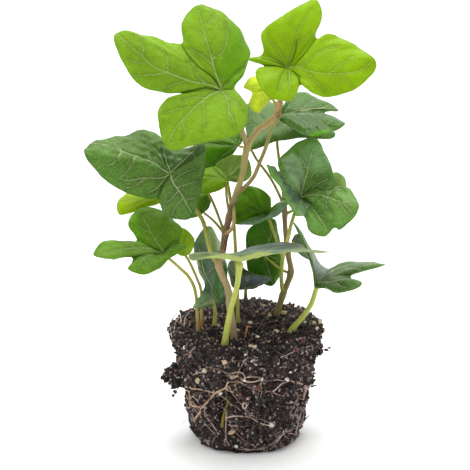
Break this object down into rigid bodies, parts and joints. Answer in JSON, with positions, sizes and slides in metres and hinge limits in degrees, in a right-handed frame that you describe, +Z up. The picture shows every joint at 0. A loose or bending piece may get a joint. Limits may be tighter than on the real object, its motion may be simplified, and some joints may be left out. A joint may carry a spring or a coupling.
{
  "type": "english ivy plant with bare root ball",
  "caption": "Young trailing ivy with lobed leaves on long stalks and forked woody stems, standing on its tapered bare root ball of peat.",
  "frame": {"origin": "middle of the root ball's flat base", "axes": "+Z up along the stems, -Y towards the viewer of the front, +X to the viewer's right"},
  "size_m": [0.1473, 0.0981, 0.2257],
  "materials": {
    "leaf_bright": "satin bright green leaf",
    "leaf_young": "satin yellow-green young leaf",
    "leaf_dark": "glossy dark green leaf with paler veins",
    "leaf_olive": "matt pale olive underside of a leaf",
    "stem_bark": "smooth pinkish brown young bark",
    "soil_peat": "matt black-brown moist peat with bark crumbs",
    "root_tan": "matt pale tan root"
  },
  "bodies": {
    "root": {"soil_plug": "soil_peat", "roots_front_left": "root_tan", "roots_front_low": "root_tan", "roots_right": "root_tan", "roots_back": "root_tan", "stem_main": "stem_bark", "stem_right": "stem_bark", "leaf_crown_left": "leaf_bright", "leaf_crown_right": "leaf_young", "leaf_crown_young": "leaf_young", "leaf_left_upper": "leaf_dark", "leaf_left_young": "leaf_young", "leaf_left_lower": "leaf_dark", "leaf_left_back": "leaf_young", "leaf_left_small": "leaf_dark", "leaf_left_curled": "leaf_dark", "leaf_middle_dark": "leaf_dark", "leaf_middle_olive": "leaf_olive", "leaf_middle_light": "leaf_bright", "leaf_centre_round": "leaf_dark", "leaf_centre_lower": "leaf_dark", "leaf_front_level": "leaf_olive", "leaf_right_upper": "leaf_dark", "leaf_right_folded": "leaf_dark", "leaf_right_large": "leaf_dark", "leaf_right_young": "leaf_young", "leaf_right_small": "leaf_dark", "leaf_right_lower": "leaf_dark", "leaf_back_low": "leaf_dark"}
  },
  "joints": []
}
